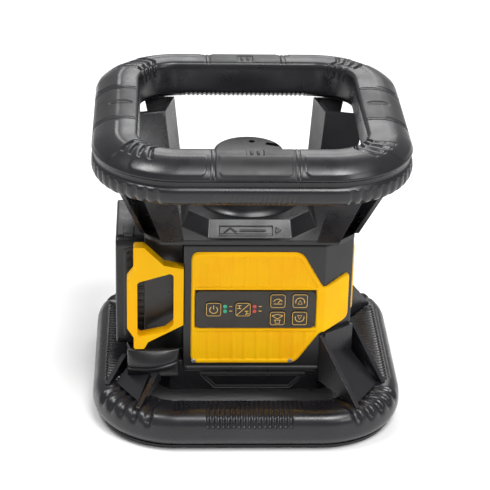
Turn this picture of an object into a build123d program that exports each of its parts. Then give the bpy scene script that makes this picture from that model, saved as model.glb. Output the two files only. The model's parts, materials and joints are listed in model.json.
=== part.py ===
"""Rotating laser level in a protective roll cage.

Millimetres, +Z up. The origin is on the floor under the rotor axis, the keypad faces -Y and the
battery is on the -X side. Each sub-part is built in place and exported to its own STEP file.
"""

import os
from build123d import *

# ---- cage ---------------------------------------------------------------------------------------
CAGE_X = 240.0                 # overall width over the base ring
CAGE_Y = 238.0                 # overall depth, and the width and depth of the top ring
RING_CORNER = 64.0             # plan radius of the rings' outer corners
RING_INNER_CORNER = 20.0       # plan radius of the rings' inner corners
TOP_RING_INNER = 167.0         # clear width inside the top ring
TOP_RING_BOTTOM = 204.0
TOP_RING_PARTING = 222.0       # joint between the lower and the upper half
TOP_RING_TOP = 238.0
BASE_RING_INNER = 160.0
BASE_RING_TOP = 30.0
TREAD_HEIGHT = 3.0             # rubber tread under the base ring
RING_WALL = 3.5                # wall of the hollow ring mouldings
RING_RIB = 3.0                 # stiffening rib along the middle of each ring
PAD_LENGTH = 60.0              # grip pads let into the top of each bar
PAD_WIDTH = 22.0
PAD_DEPTH = 2.5
PAD_CENTRE = 98.0              # distance of a pad's centre line from the rotor axis
RING_BOSS_RADIUS = 5.5
POST_WALL = 3.5
POST_DECK_PATH = [(67, -60), (55, -60), (60, -48), (79.5, -38), (79.5, -47)]
POST_RING_PATH = [(81, -92), (61, -92), (67, -67), (92, -61), (97, -80)]
LEG_WALL = 3.5

# ---- housing ------------------------------------------------------------------------------------
FRONT = 60.0                   # housing half depth
SIDE = 80.0                    # housing half width on the battery-free side
BAY_WALL = 50.0                # partition between the housing and the battery bay
CHAMFER_X = 57.5               # where the front face turns into the corner chamfer
CHAMFER_Y = 44.0               # where the corner chamfer reaches the side face
SKIRT_LEFT = 94.0              # bottom case reaches further out below the battery
WALL = 3.0
CASE_BOTTOM = 21.0
SHELF_BOTTOM = 32.0            # underside of the shelf that carries the battery bay
CASE_TOP = 42.0
CASE_FLOOR = 4.0
DECK_BOTTOM = 146.5
DECK_TOP = 150.5
PLATEAU_TOP = 160.5
PLATEAU_X = 93.0
PLATEAU_Y = 88.0
TURRET_OPENING = 31.5          # radius that clears the tilting rotor hub
SHROUD_TOP = 170.0
SHROUD_RADIUS = 36.5

# ---- keypad -------------------------------------------------------------------------------------
PANEL_THICK = 2.0
PANEL_CORNER = 5.0
KEYPAD_LEFT = -40.7
KEYPAD_RIGHT = 50.8
KEYPAD_BOTTOM = 77.0
KEYPAD_TOP = 108.5
BEZEL_THICK = 2.5
BUTTON = 12.0
BUTTON_CORNER = 3.0
BUTTON_GAP = 0.3
BUTTON_PROUD = 1.2
BUTTONS = {                    # centre of each button on the front face (x, z)
    "button_power": (-27.0, 93.5),
    "button_mode": (-4.5, 93.5),
    "button_speed": (22.0, 100.8),
    "button_scan": (22.0, 85.8),
    "button_turn_right": (39.0, 100.8),
    "button_turn_left": (39.0, 85.8),
}
LED_RADIUS = 1.5
LED_GREEN = [(-18.2, 95.6), (-18.2, 91.6)]
LED_RED = [(4.3, 95.6), (4.3, 91.6)]

# ---- battery ------------------------------------------------------------------------------------
BATTERY_OUTER = 102.0
BATTERY_INNER = 56.0
BATTERY_HALF = 38.0
BATTERY_BOTTOM = 47.0
BATTERY_TOP = 141.0
BATTERY_WALL = 2.5
BAY_FLOOR = 4.8
CELL_RADIUS = 9.2
CELL_LENGTH = 65.0
CELL_PITCH = 18.6
RELEASE_LENGTH = 16.0
RELEASE_WIDTH = 8.0
RELEASE_X = -92.0
RELEASE_Y = -25.0

# ---- levelling gimbal ---------------------------------------------------------------------------
PIVOT_Z = 128.0                # both tilt axes cross the rotor axis here
JOURNAL = 3.0
RUNNING_FIT = 0.05             # radial clearance of every running fit
RING_OUT = 36.0
RING_IN = 28.0
RING_HALF_HEIGHT = 5.0
ARM_INNER = 40.0               # bracket arms that carry the outer trunnions
ARM_OUTER = 46.0
BLOCK_HALF = 18.0
BLOCK_HALF_HEIGHT = 7.0
LEVER_Y_REACH = 58.0           # lever of the outer gimbal, worked by the housing's level drive
LEVER_X_REACH = 24.0           # lever of the barrel, worked by the drive on the gimbal ring
FORK_GAP = 0.2
SCREW_Y_AT = (58.0, 11.0)
SCREW_Y_RADIUS = 2.5
SCREW_X_AT = (10.0, 24.0)
SCREW_X_RADIUS = 1.5

# ---- laser barrel and rotor ---------------------------------------------------------------------
BARREL_RADIUS = 15.0
BARREL_BORE = 11.0
BARREL_BOTTOM = 70.0
BARREL_TOP = 146.0
NECK_RADIUS = 9.0
NECK_BORE = 6.5
NECK_TOP = 170.0
STATOR_RADIUS = 20.0
AIR_GAP = 0.4
MAGNET_RADIUS = 23.5
HUB_RADIUS = 25.5
HUB_BOTTOM = 147.0
BEARING_RADIUS = 13.0
HUB_TOP = 174.0
CAP_BOTTOM = 190.0
CAP_TOP = 199.0
CAP_RADIUS = 27.0

# ---- tripod socket ------------------------------------------------------------------------------
TRIPOD_BORE = 6.75             # minor radius of a 5/8-11 UNC thread
TRIPOD_DEPTH = 18.5
TRIPOD_MOUTH = 0.5
INSERT_RADIUS = 12.0
INSERT_TOP = 26.0

HOUSING_PLAN = [
    (-BAY_WALL, -FRONT), (CHAMFER_X, -FRONT), (SIDE, -CHAMFER_Y),
    (SIDE, CHAMFER_Y), (CHAMFER_X, FRONT), (-BAY_WALL, FRONT),
]
DECK_PLAN = [
    (-67, -FRONT), (67, -FRONT), (SIDE, -47), (SIDE, 47),
    (67, FRONT), (-67, FRONT), (-SIDE, 47), (-SIDE, -47),
]
CASE_LEFT = [(-74.0, 60.0), (-90.0, 46.0), (-SKIRT_LEFT, 30.0),
             (-SKIRT_LEFT, -30.0), (-90.0, -46.0), (-74.0, -60.0)]
CASE_PLAN = HOUSING_PLAN[1:5] + CASE_LEFT
TRAY_PLAN = HOUSING_PLAN[1:5] + [(-60.0, FRONT), (-76.0, 46.0), (-76.0, -46.0), (-60.0, -FRONT)]
BAY_PLAN = [(-BAY_WALL, FRONT)] + CASE_LEFT + [(-BAY_WALL, -FRONT)]

os.makedirs("parts", exist_ok=True)


def save(part, node):
    """Label a finished sub-part and write its STEP file."""
    part.label = node
    export_step(part, f"parts/{node}.step")


def rounded_ring(width, depth, corner, inner_width, inner_depth, inner_corner):
    """Sketch a rounded rectangular ring in the current sketch."""
    RectangleRounded(width, depth, corner)
    RectangleRounded(inner_width, inner_depth, inner_corner, mode=Mode.SUBTRACT)


def ring_channels(width, depth, inner, floor_z, height):
    """The two hollow channels either side of a ring's middle rib."""
    mid = (width + inner) / 4
    spans = [
        (width / 2 - RING_WALL, mid + RING_RIB / 2),
        (mid - RING_RIB / 2, inner / 2 + RING_WALL),
    ]
    squash = (width - depth) / 2
    with BuildPart() as channels:
        for outer, inside in spans:
            with BuildSketch(Plane.XY.offset(floor_z)):
                rounded_ring(
                    2 * outer, 2 * (outer - squash), outer - width / 2 + RING_CORNER,
                    2 * inside, 2 * (inside - squash), inside - inner / 2 + RING_INNER_CORNER,
                )
            extrude(amount=height)
    return channels.part


def ring_screw_points():
    """Places of the screws that clamp the two halves of the top ring."""
    mid = (CAGE_Y + TOP_RING_INNER) / 4
    return [(sx * mid, sy * 45.0) for sx in (-1, 1) for sy in (-1, 1)] + [
        (sx * 45.0, sy * mid) for sx in (-1, 1) for sy in (-1, 1)
    ]


def pad_places():
    """One location for each grip pad, its long side along the bar."""
    return [Location((0, -PAD_CENTRE, 0)), Location((0, PAD_CENTRE, 0)),
            Location((-PAD_CENTRE, 0, 0), (0, 0, 90)), Location((PAD_CENTRE, 0, 0), (0, 0, 90))]


# ---- top ring -----------------------------------------------------------------------------------
with BuildPart() as top_ring_lower:
    with BuildSketch(Plane.XY.offset(TOP_RING_BOTTOM)):
        rounded_ring(CAGE_Y, CAGE_Y, RING_CORNER, TOP_RING_INNER, TOP_RING_INNER, RING_INNER_CORNER)
    extrude(amount=TOP_RING_PARTING - TOP_RING_BOTTOM)
    lower_rim = top_ring_lower.edges().group_by(Axis.Z)[0]
    fillet(lower_rim, radius=6)
    channels = ring_channels(CAGE_Y, CAGE_Y, TOP_RING_INNER, TOP_RING_BOTTOM + 4, TOP_RING_PARTING)
    add(channels, mode=Mode.SUBTRACT)
    with BuildSketch(Plane.XY.offset(TOP_RING_BOTTOM + 2)):
        with Locations(*ring_screw_points()):
            Circle(RING_BOSS_RADIUS)
    extrude(amount=TOP_RING_PARTING - TOP_RING_BOTTOM - 2)
    with BuildSketch(Plane.XY.offset(TOP_RING_BOTTOM)):
        with Locations(*ring_screw_points()):
            Circle(2.0)
    extrude(amount=TOP_RING_PARTING, mode=Mode.SUBTRACT)
    with BuildSketch(Plane.XY.offset(TOP_RING_BOTTOM)):
        with Locations(*ring_screw_points()):
            Circle(3.6)
    extrude(amount=5, mode=Mode.SUBTRACT)
save(top_ring_lower.part, "top_ring_lower")

with BuildPart() as top_ring_upper:
    with BuildSketch(Plane.XY.offset(TOP_RING_PARTING)):
        rounded_ring(CAGE_Y, CAGE_Y, RING_CORNER, TOP_RING_INNER, TOP_RING_INNER, RING_INNER_CORNER)
    extrude(amount=TOP_RING_TOP - TOP_RING_PARTING)
    fillet(top_ring_upper.edges().group_by(Axis.Z)[-1], radius=7)
    roof = TOP_RING_TOP - TOP_RING_PARTING - 6
    add(ring_channels(CAGE_Y, CAGE_Y, TOP_RING_INNER, TOP_RING_PARTING, roof), mode=Mode.SUBTRACT)
    with BuildSketch(Plane.XY.offset(TOP_RING_PARTING)):
        with Locations(*ring_screw_points()):
            Circle(RING_BOSS_RADIUS)
    extrude(amount=TOP_RING_TOP - TOP_RING_PARTING - 4)
    with BuildSketch(Plane.XY.offset(TOP_RING_PARTING)):
        with Locations(*ring_screw_points()):
            Circle(2.0)
    extrude(amount=7, mode=Mode.SUBTRACT)
    with BuildSketch(Plane.XY.offset(TOP_RING_TOP)):
        with Locations(*pad_places()):
            RectangleRounded(PAD_LENGTH, PAD_WIDTH, 4)
    extrude(amount=-PAD_DEPTH, mode=Mode.SUBTRACT)
save(top_ring_upper.part, "top_ring_upper")

with BuildPart() as ring_pads:
    with BuildSketch(Plane.XY.offset(TOP_RING_TOP - PAD_DEPTH)):
        with Locations(*pad_places()):
            RectangleRounded(PAD_LENGTH - 0.6, PAD_WIDTH - 0.6, 3.7)
    extrude(amount=PAD_DEPTH)
save(ring_pads.part, "ring_pads")

# ---- base ring ----------------------------------------------------------------------------------
with BuildPart() as base_ring:
    with BuildSketch(Plane.XY.offset(TREAD_HEIGHT)):
        rounded_ring(CAGE_X, CAGE_Y, RING_CORNER, BASE_RING_INNER, BASE_RING_INNER - 2, RING_INNER_CORNER)
    extrude(amount=BASE_RING_TOP - TREAD_HEIGHT)
    fillet(base_ring.edges().group_by(Axis.Z)[-1], radius=6)
    roof = BASE_RING_TOP - TREAD_HEIGHT - 5
    add(ring_channels(CAGE_X, CAGE_Y, BASE_RING_INNER, TREAD_HEIGHT, roof), mode=Mode.SUBTRACT)
save(base_ring.part, "base_ring")

with BuildPart() as base_tread:
    with BuildSketch():
        rounded_ring(CAGE_X - 12, CAGE_Y - 12, RING_CORNER - 6,
                     BASE_RING_INNER + 4, BASE_RING_INNER + 2, RING_INNER_CORNER + 2)
    extrude(amount=TREAD_HEIGHT)
    fillet(base_tread.edges().group_by(Axis.Z)[0], radius=1.5)
save(base_tread.part, "base_tread")


# ---- upper corner posts: channels open towards the corner, between the deck and the top ring ------
def thickened(path, wall):
    """Outline of a wall that follows a plan path, its thickness to the left of travel."""
    points = [Vector(*point) for point in path]
    steps = [(after - before).normalized() for before, after in zip(points, points[1:])]
    normals = [Vector(-step.Y, step.X) for step in steps]
    inner = []
    for index, point in enumerate(points):
        before = normals[max(index - 1, 0)]
        after = normals[min(index, len(normals) - 1)]
        mitre = (before + after).normalized()
        inner.append(point + mitre * (wall / mitre.dot(before)))
    return points + inner[::-1]


with BuildPart() as post_front_right:
    for height, path in ((DECK_TOP, POST_DECK_PATH), (TOP_RING_BOTTOM, POST_RING_PATH)):
        with BuildSketch(Plane.XY.offset(height)):
            Polygon(*thickened(path, POST_WALL), align=None)
    loft(ruled=True)
save(post_front_right.part, "post_front_right")

with BuildPart() as post_front_left:
    add(post_front_right.part)
    mirror(about=Plane.YZ, mode=Mode.REPLACE)
save(post_front_left.part, "post_front_left")

with BuildPart() as post_rear_right:
    add(post_front_right.part)
    mirror(about=Plane.XZ, mode=Mode.REPLACE)
save(post_rear_right.part, "post_rear_right")

with BuildPart() as post_rear_left:
    add(post_front_left.part)
    mirror(about=Plane.XZ, mode=Mode.REPLACE)
save(post_rear_left.part, "post_rear_left")

# ---- lower corner legs: a foot plate on the case and two fins down to the base ring --------------
def plate(corners, thickness):
    """A flat plate whose outer face passes through four points."""
    origin, second, third = (Vector(*corner) for corner in corners[:3])
    normal = (second - origin).cross(third - origin)
    face = Plane(origin=origin, x_dir=second - origin, z_dir=normal)
    with BuildPart() as slab:
        with BuildSketch(face):
            flat = [face.to_local_coords(Vector(*corner)) for corner in corners]
            Polygon(*[(point.X, point.Y) for point in flat], align=None)
        extrude(amount=thickness)
    return slab.part


def lower_leg(front_fin, side_fin, web, foot):
    """One lower leg: two fins from the case out to the base ring, with a sloping web between them."""
    with BuildPart() as leg:
        add(plate(front_fin, LEG_WALL))
        add(plate(side_fin, LEG_WALL))
        add(plate(web, -LEG_WALL))
        add(plate(foot, LEG_WALL))
        with BuildSketch():
            Rectangle(2 * CAGE_X, 2 * CAGE_Y)
        extrude(amount=BASE_RING_TOP, mode=Mode.SUBTRACT)
        for plan, level in ((CASE_PLAN, SHELF_BOTTOM), (HOUSING_PLAN, CASE_BOTTOM)):
            with BuildSketch(Plane.XY.offset(level)):
                Polygon(*plan, align=None)
            extrude(amount=DECK_TOP, mode=Mode.SUBTRACT)
    return leg.part


leg_front_right = lower_leg(
    front_fin=[(58.2, -60, 70), (58.2, -60, 30), (84.5, -103, 30), (84.5, -103, 31)],
    side_fin=[(105, -67, 31), (105, -67, 30), (80, -38, 30), (80, -38, 72)],
    web=[(57.5, -60, 60), (84, -100, 28), (103, -68, 28), (80, -44, 60)],
    foot=[(57.5, -60, 72), (57.5, -60, 30), (80, -44, 30), (80, -44, 72)],
)
leg_front_left = lower_leg(
    front_fin=[(-86, -103, 31), (-86, -103, 30), (-70, -60, 30), (-70, -60, 42)],
    side_fin=[(-94, -42, 42), (-94, -42, 30), (-107, -69, 30), (-107, -69, 31)],
    web=[(-90, -46, 38), (-105, -69, 28), (-86, -100, 28), (-74, -60, 38)],
    foot=[(-90, -46, 42), (-90, -46, 30), (-74, -60, 30), (-74, -60, 42)],
)
save(leg_front_right, "leg_front_right")
save(leg_front_left, "leg_front_left")

with BuildPart() as leg_rear_right:
    add(leg_front_right)
    mirror(about=Plane.XZ, mode=Mode.REPLACE)
save(leg_rear_right.part, "leg_rear_right")

with BuildPart() as leg_rear_left:
    add(leg_front_left)
    mirror(about=Plane.XZ, mode=Mode.REPLACE)
save(leg_rear_left.part, "leg_rear_left")


# ---- housing ------------------------------------------------------------------------------------
def housing_shell(keep):
    """Half of the housing wall, cut at the middle plane."""
    with BuildPart() as shell:
        with BuildSketch(Plane.XY.offset(CASE_TOP)):
            Polygon(*HOUSING_PLAN, align=None)
            offset(amount=-WALL, kind=Kind.INTERSECTION, mode=Mode.SUBTRACT)
        extrude(amount=DECK_BOTTOM - CASE_TOP)
        split(bisect_by=Plane.XZ, keep=keep)
    return shell.part


with BuildPart() as housing_front:
    add(housing_shell(Keep.TOP))
    with BuildSketch(Plane.XZ.offset(FRONT - WALL - 1)):
        with Locations(((KEYPAD_LEFT + KEYPAD_RIGHT) / 2, (KEYPAD_BOTTOM + KEYPAD_TOP) / 2)):
            RectangleRounded(KEYPAD_RIGHT - KEYPAD_LEFT - 4, KEYPAD_TOP - KEYPAD_BOTTOM - 1, 2)
    extrude(amount=WALL + 2, mode=Mode.SUBTRACT)
save(housing_front.part, "housing_front")
save(housing_shell(Keep.BOTTOM), "housing_rear")

CASE_SCREW_POINTS = [(-60, -45), (50, -45), (-60, 45), (50, 45)]

with BuildPart() as bottom_case:
    for plan, level in ((TRAY_PLAN, CASE_BOTTOM), (CASE_PLAN, SHELF_BOTTOM)):
        with BuildSketch(Plane.XY.offset(level)):
            Polygon(*plan, align=None)
        extrude(amount=CASE_TOP - level)
    for plan, level in ((TRAY_PLAN, CASE_BOTTOM), (CASE_PLAN, SHELF_BOTTOM)):
        with BuildSketch(Plane.XY.offset(level + CASE_FLOOR)):
            Polygon(*plan, align=None)
            offset(amount=-WALL, kind=Kind.INTERSECTION, mode=Mode.REPLACE)
        extrude(amount=CASE_TOP, mode=Mode.SUBTRACT)
    with BuildSketch(Plane.XY.offset(TRIPOD_MOUTH)):
        Circle(2 * INSERT_RADIUS)
    extrude(amount=CASE_BOTTOM - TRIPOD_MOUTH)
    with BuildSketch(Plane.XY.offset(CASE_BOTTOM)):
        Circle(1.5 * INSERT_RADIUS)
    extrude(amount=INSERT_TOP + 3 - CASE_BOTTOM)
    with BuildSketch(Plane.XY.offset(TRIPOD_MOUTH)):
        Circle(INSERT_RADIUS)
    extrude(amount=INSERT_TOP - TRIPOD_MOUTH, mode=Mode.SUBTRACT)
    with BuildSketch(Plane.XY.offset(CASE_BOTTOM)):
        with Locations(SCREW_Y_AT):
            Circle(9)
    extrude(amount=60 - CASE_BOTTOM)
    with BuildSketch(Plane.XY.offset(CASE_BOTTOM)):
        with Locations(*CASE_SCREW_POINTS):
            Circle(RING_BOSS_RADIUS)
    extrude(amount=CASE_TOP - CASE_BOTTOM - 1)
    with BuildSketch(Plane.XY.offset(CASE_BOTTOM)):
        with Locations(*CASE_SCREW_POINTS):
            Circle(2.0)
    extrude(amount=16, mode=Mode.SUBTRACT)
save(bottom_case.part, "bottom_case")

with BuildPart() as tripod_insert:
    with BuildSketch(Plane.XY.offset(TRIPOD_MOUTH)):
        Circle(INSERT_RADIUS)
    extrude(amount=INSERT_TOP - TRIPOD_MOUTH)
    with BuildSketch(Plane.XY.offset(TRIPOD_MOUTH)):
        Circle(TRIPOD_BORE)
    extrude(amount=TRIPOD_DEPTH, mode=Mode.SUBTRACT)
save(tripod_insert.part, "tripod_insert")

with BuildPart() as case_screws:
    with BuildSketch(Plane.XY.offset(CASE_BOTTOM - 3)):
        with Locations(*CASE_SCREW_POINTS):
            Circle(3.4)
    extrude(amount=3)
    with BuildSketch(Plane.XY.offset(CASE_BOTTOM)):
        with Locations(*CASE_SCREW_POINTS):
            Circle(1.9)
    extrude(amount=15)
    with BuildSketch(Plane.XY.offset(TOP_RING_BOTTOM + 2)):
        with Locations(*ring_screw_points()):
            Circle(3.4)
    extrude(amount=3)
    with BuildSketch(Plane.XY.offset(TOP_RING_BOTTOM + 5)):
        with Locations(*ring_screw_points()):
            Circle(1.9)
    extrude(amount=15)
save(case_screws.part, "case_screws")



def octagon(width, depth, cut):
    """Rectangle with its four corners cut off, in the current sketch."""
    half_x, half_y = width / 2, depth / 2
    Polygon((half_x - cut, -half_y), (half_x, cut - half_y), (half_x, half_y - cut), (half_x - cut, half_y),
            (cut - half_x, half_y), (-half_x, half_y - cut), (-half_x, cut - half_y), (cut - half_x, -half_y),
            align=None)


with BuildPart() as top_deck:
    with BuildSketch(Plane.XY.offset(DECK_BOTTOM)):
        Polygon(*DECK_PLAN, align=None)
    extrude(amount=DECK_TOP - DECK_BOTTOM)
    with BuildSketch(Plane.XY.offset(DECK_TOP)):
        octagon(PLATEAU_X + 10, PLATEAU_Y + 24, 20)
    with BuildSketch(Plane.XY.offset(PLATEAU_TOP)):
        octagon(PLATEAU_X, PLATEAU_Y, 16)
    loft()
    with BuildSketch(Plane.XY.offset(DECK_BOTTOM)):
        octagon(PLATEAU_X + 2, PLATEAU_Y + 14, 20)
    with BuildSketch(Plane.XY.offset(PLATEAU_TOP - 3.5)):
        octagon(PLATEAU_X - 7, PLATEAU_Y - 7, 16)
    loft(mode=Mode.SUBTRACT)
    with BuildSketch(Plane.XY.offset(PLATEAU_TOP)):
        Circle(TURRET_OPENING)
    extrude(amount=DECK_BOTTOM - PLATEAU_TOP, mode=Mode.SUBTRACT)
save(top_deck.part, "top_deck")

with BuildPart() as turret_shroud:
    with BuildSketch(Plane.XZ):
        Polygon((TURRET_OPENING, PLATEAU_TOP), (SHROUD_RADIUS + 5, PLATEAU_TOP),
                (SHROUD_RADIUS + 1.5, PLATEAU_TOP + 3), (SHROUD_RADIUS - 1, SHROUD_TOP - 1.5),
                (SHROUD_RADIUS - 2.5, SHROUD_TOP), (TURRET_OPENING, SHROUD_TOP), align=None)
    revolve(axis=Axis.Z)
save(turret_shroud.part, "turret_shroud")

# ---- yellow panels ------------------------------------------------------------------------------
FRONT_FACE = Plane(origin=(0, -FRONT, 0), x_dir=(1, 0, 0), z_dir=(0, -1, 0))
CHAMFER_FACE = Plane(origin=(CHAMFER_X, -FRONT, 0), x_dir=(SIDE - CHAMFER_X, FRONT - CHAMFER_Y, 0),
                     z_dir=(FRONT - CHAMFER_Y, CHAMFER_X - SIDE, 0))

with BuildPart() as front_panel:
    with BuildSketch(FRONT_FACE) as panel_outline:
        Polygon((-44.4, 141), (40, 141), (56, 112.5), (CHAMFER_X, 111.5), (CHAMFER_X, 72),
                (55.5, 72), (37, 44.8), (-44.4, 44.8), align=None)
        fillet(panel_outline.vertices().group_by(Axis.Y)[0], radius=PANEL_CORNER)
        fillet(panel_outline.vertices().group_by(Axis.Y)[-1], radius=PANEL_CORNER)
    extrude(amount=PANEL_THICK)
    with BuildSketch(CHAMFER_FACE):
        Polygon((-0.8, 72), (-0.8, 111.5), (24, 119), (24, 78), align=None)
    extrude(amount=PANEL_THICK)
    with BuildSketch(FRONT_FACE):
        with Locations(((KEYPAD_LEFT + KEYPAD_RIGHT) / 2, (KEYPAD_BOTTOM + KEYPAD_TOP) / 2)):
            RectangleRounded(KEYPAD_RIGHT - KEYPAD_LEFT, KEYPAD_TOP - KEYPAD_BOTTOM, 4)
    extrude(amount=PANEL_THICK, mode=Mode.SUBTRACT)
save(front_panel.part, "front_panel")

with BuildPart() as side_panel:
    with BuildSketch(Plane.YZ.offset(SIDE)):
        with Locations((0, 106)):
            RectangleRounded(72, 60, 8)
    extrude(amount=PANEL_THICK)
save(side_panel.part, "side_panel")

# ---- keypad -------------------------------------------------------------------------------------
with BuildPart() as keypad_bezel:
    with BuildSketch(FRONT_FACE):
        with Locations(((KEYPAD_LEFT + KEYPAD_RIGHT) / 2, (KEYPAD_BOTTOM + KEYPAD_TOP) / 2)):
            RectangleRounded(KEYPAD_RIGHT - KEYPAD_LEFT, KEYPAD_TOP - KEYPAD_BOTTOM, 4)
        with Locations(*BUTTONS.values()):
            RectangleRounded(BUTTON + 2 * BUTTON_GAP, BUTTON + 2 * BUTTON_GAP,
                             BUTTON_CORNER + BUTTON_GAP, mode=Mode.SUBTRACT)
        with Locations(*LED_GREEN, *LED_RED):
            Circle(LED_RADIUS, mode=Mode.SUBTRACT)
    extrude(amount=BEZEL_THICK)
save(keypad_bezel.part, "keypad_bezel")


def keypad_button(centre):
    """A button cap with the flange that keeps it behind the bezel."""
    with BuildPart() as button:
        with BuildSketch(FRONT_FACE.offset(-1.8)):
            with Locations(centre):
                RectangleRounded(BUTTON, BUTTON, BUTTON_CORNER)
        extrude(amount=1.8 + BEZEL_THICK + BUTTON_PROUD)
        fillet(button.edges().group_by(Axis.Y)[0], radius=0.8)
        with BuildSketch(FRONT_FACE.offset(-1.8)):
            with Locations(centre):
                RectangleRounded(BUTTON + 1.6, BUTTON + 1.6, BUTTON_CORNER)
        extrude(amount=1.4)
    return button.part


for button_name, button_centre in BUTTONS.items():
    save(keypad_button(button_centre), button_name)

with BuildPart() as led_green:
    with BuildSketch(FRONT_FACE.offset(-4)):
        with Locations(*LED_GREEN):
            Circle(LED_RADIUS)
    extrude(amount=4 + BEZEL_THICK + 0.4)
save(led_green.part, "led_green")

with BuildPart() as led_red:
    with BuildSketch(FRONT_FACE.offset(-4)):
        with Locations(*LED_RED):
            Circle(LED_RADIUS)
    extrude(amount=4 + BEZEL_THICK + 0.4)
save(led_red.part, "led_red")

with BuildPart() as keypad_board:
    with BuildSketch(FRONT_FACE.offset(-5.6)):
        with Locations(((KEYPAD_LEFT + KEYPAD_RIGHT) / 2, (KEYPAD_BOTTOM + KEYPAD_TOP) / 2)):
            Rectangle(KEYPAD_RIGHT - KEYPAD_LEFT - 6, KEYPAD_TOP - KEYPAD_BOTTOM - 4)
    extrude(amount=1.6)
save(keypad_board.part, "keypad_board")

with BuildPart() as main_board:
    with Locations((4, 52, 80)):
        Box(100, 1.6, 60)
    with Locations((35, 48.2, 66), (0, 48.2, 66)):
        Box(14, 6, 14)
save(main_board.part, "main_board")

with BuildPart() as panel_screws:
    with BuildSketch(FRONT_FACE.offset(PANEL_THICK)):
        with Locations((-42, 47.8), (33, 47.8)):
            Circle(1.8)
    extrude(amount=0.8)
    fillet(panel_screws.edges().group_by(Axis.Y)[0], radius=0.5)
save(panel_screws.part, "panel_screws")

# ---- grip beside the battery ----------------------------------------------------------------------
with BuildPart() as handle_frame:
    with BuildSketch(FRONT_FACE.offset(2)) as handle_outline:
        Polygon((-BAY_WALL, 127), (-BAY_WALL, 79), (-77, 64), (-80, 58), (-88, 58), (-88, 68),
                (-93, 76), (-93, 118), (-88, 125), (-88, 145), (-80, 145), (-65, 130), align=None)
        fillet(handle_outline.vertices().group_by(Axis.X)[:-1], radius=2)
    extrude(amount=-10)
    with BuildSketch(FRONT_FACE.offset(2)) as finger_gap:
        Polygon((-57.5, 124), (-57.5, 79), (-64, 73), (-85.2, 68), (-85.2, 115.5), align=None)
        fillet(finger_gap.vertices(), radius=3)
    extrude(amount=-10, mode=Mode.SUBTRACT)
save(handle_frame.part, "handle_frame")

# ---- battery bay and battery --------------------------------------------------------------------
with BuildPart() as battery_bay:
    with BuildSketch(Plane.XY.offset(CASE_TOP)):
        Polygon(*BAY_PLAN, align=None)
    extrude(amount=BAY_FLOOR)
    with BuildSketch(Plane.XY.offset(CASE_TOP + BAY_FLOOR)):
        with Locations((-BAY_WALL - 1.5, 0)):
            Rectangle(3, 2 * BATTERY_HALF + 8)
        with Locations((-65, BATTERY_HALF + 2.5), (-65, -BATTERY_HALF - 2.5)):
            Rectangle(30, 3)
    extrude(amount=DECK_BOTTOM - CASE_TOP - BAY_FLOOR)
save(battery_bay.part, "battery_bay")

with BuildPart() as terminal_block:
    with Locations((-BAY_WALL - 4, 0, 70)):
        Box(2, 30, 16)
save(terminal_block.part, "terminal_block")

battery_mid = -(BATTERY_OUTER + BATTERY_INNER) / 2
battery_depth = BATTERY_OUTER - BATTERY_INNER
battery_height = BATTERY_TOP - BATTERY_BOTTOM

with BuildPart() as battery_case:
    with Locations((battery_mid + BATTERY_WALL / 2, 0, (BATTERY_TOP + BATTERY_BOTTOM) / 2)):
        Box(battery_depth - BATTERY_WALL, 2 * BATTERY_HALF, battery_height)
    fillet(battery_case.edges().filter_by(Axis.X), radius=8)
    with Locations((battery_mid, 0, (BATTERY_TOP + BATTERY_BOTTOM) / 2)):
        Box(battery_depth - 2 * BATTERY_WALL, 2 * (BATTERY_HALF - BATTERY_WALL),
            battery_height - 2 * BATTERY_WALL, mode=Mode.SUBTRACT)
    with Locations((-BATTERY_INNER - BATTERY_WALL / 2, 0, 70)):
        Box(BATTERY_WALL, 24, 12, mode=Mode.SUBTRACT)
    with Locations((RELEASE_X, RELEASE_Y, BATTERY_TOP)):
        Box(RELEASE_WIDTH + 2 * BUTTON_GAP, RELEASE_LENGTH + 2 * BUTTON_GAP, 3 * BATTERY_WALL,
            mode=Mode.SUBTRACT)
save(battery_case.part, "battery_case")

with BuildPart() as battery_lid:
    with Locations((-BATTERY_OUTER + BATTERY_WALL / 2, 0, (BATTERY_TOP + BATTERY_BOTTOM) / 2)):
        Box(BATTERY_WALL, 2 * BATTERY_HALF, battery_height)
    fillet(battery_lid.edges().filter_by(Axis.X), radius=8)
    fillet(battery_lid.faces().sort_by(Axis.X)[0].edges(), radius=1.8)
save(battery_lid.part, "battery_lid")

with BuildPart() as battery_cells:
    cell_bottom = BATTERY_BOTTOM + BATTERY_WALL
    with BuildSketch(Plane.XY.offset(cell_bottom)):
        with Locations((battery_mid, 0)):
            with GridLocations(CELL_PITCH, CELL_PITCH, 2, 3):
                Circle(CELL_RADIUS)
    extrude(amount=CELL_LENGTH)
save(battery_cells.part, "battery_cells")

with BuildPart() as battery_contacts:
    with Locations((-BATTERY_INNER - BATTERY_WALL / 2, 0, 70)):
        Box(BATTERY_WALL, 24, 12)
save(battery_contacts.part, "battery_contacts")

with BuildPart() as battery_release:
    with Locations((RELEASE_X, RELEASE_Y, BATTERY_TOP + 0.2)):
        Box(RELEASE_WIDTH, RELEASE_LENGTH, 3.6)
    fillet(battery_release.edges().group_by(Axis.Z)[-1], radius=0.6)
save(battery_release.part, "battery_release")

# ---- gimbal -------------------------------------------------------------------------------------
TRUNNION_PLANE = Plane(origin=(0, -ARM_OUTER, PIVOT_Z), x_dir=(1, 0, 0), z_dir=(0, 1, 0))

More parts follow.
